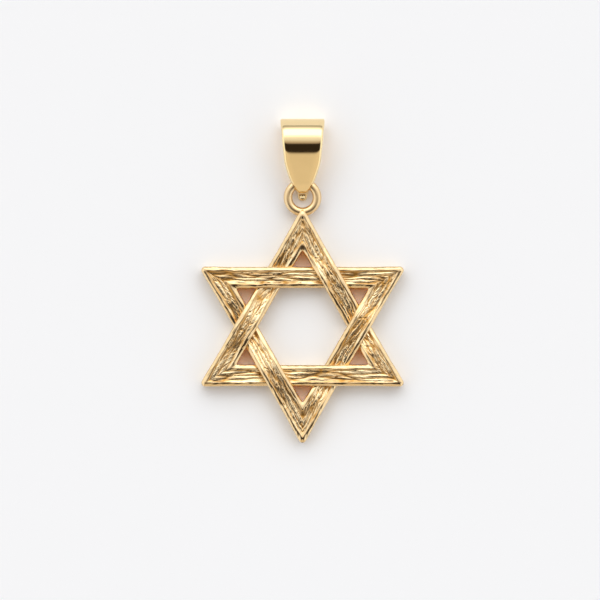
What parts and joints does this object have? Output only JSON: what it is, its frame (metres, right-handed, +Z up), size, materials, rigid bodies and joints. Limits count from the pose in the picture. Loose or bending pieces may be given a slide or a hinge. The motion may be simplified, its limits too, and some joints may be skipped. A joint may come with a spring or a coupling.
{
  "type": "star of david pendant",
  "caption": "Small cast pendant: two interlaced bark-textured triangles form an open star, with a soldered ring and a smooth folded bail for a chain.",
  "frame": {"origin": "middle of the pendant's outline, on the surface that it lies on", "axes": "+Z up out of the front face, +Y from the star towards the bail, +X to the right seen from the front"},
  "size_m": [0.0222, 0.0356, 0.004],
  "materials": {
    "star_gold": "yellow gold, bark texture between polished rims",
    "bail_gold": "yellow gold, highly polished"
  },
  "bodies": {
    "root": {"star": "star_gold", "bail": "bail_gold"}
  },
  "joints": []
}
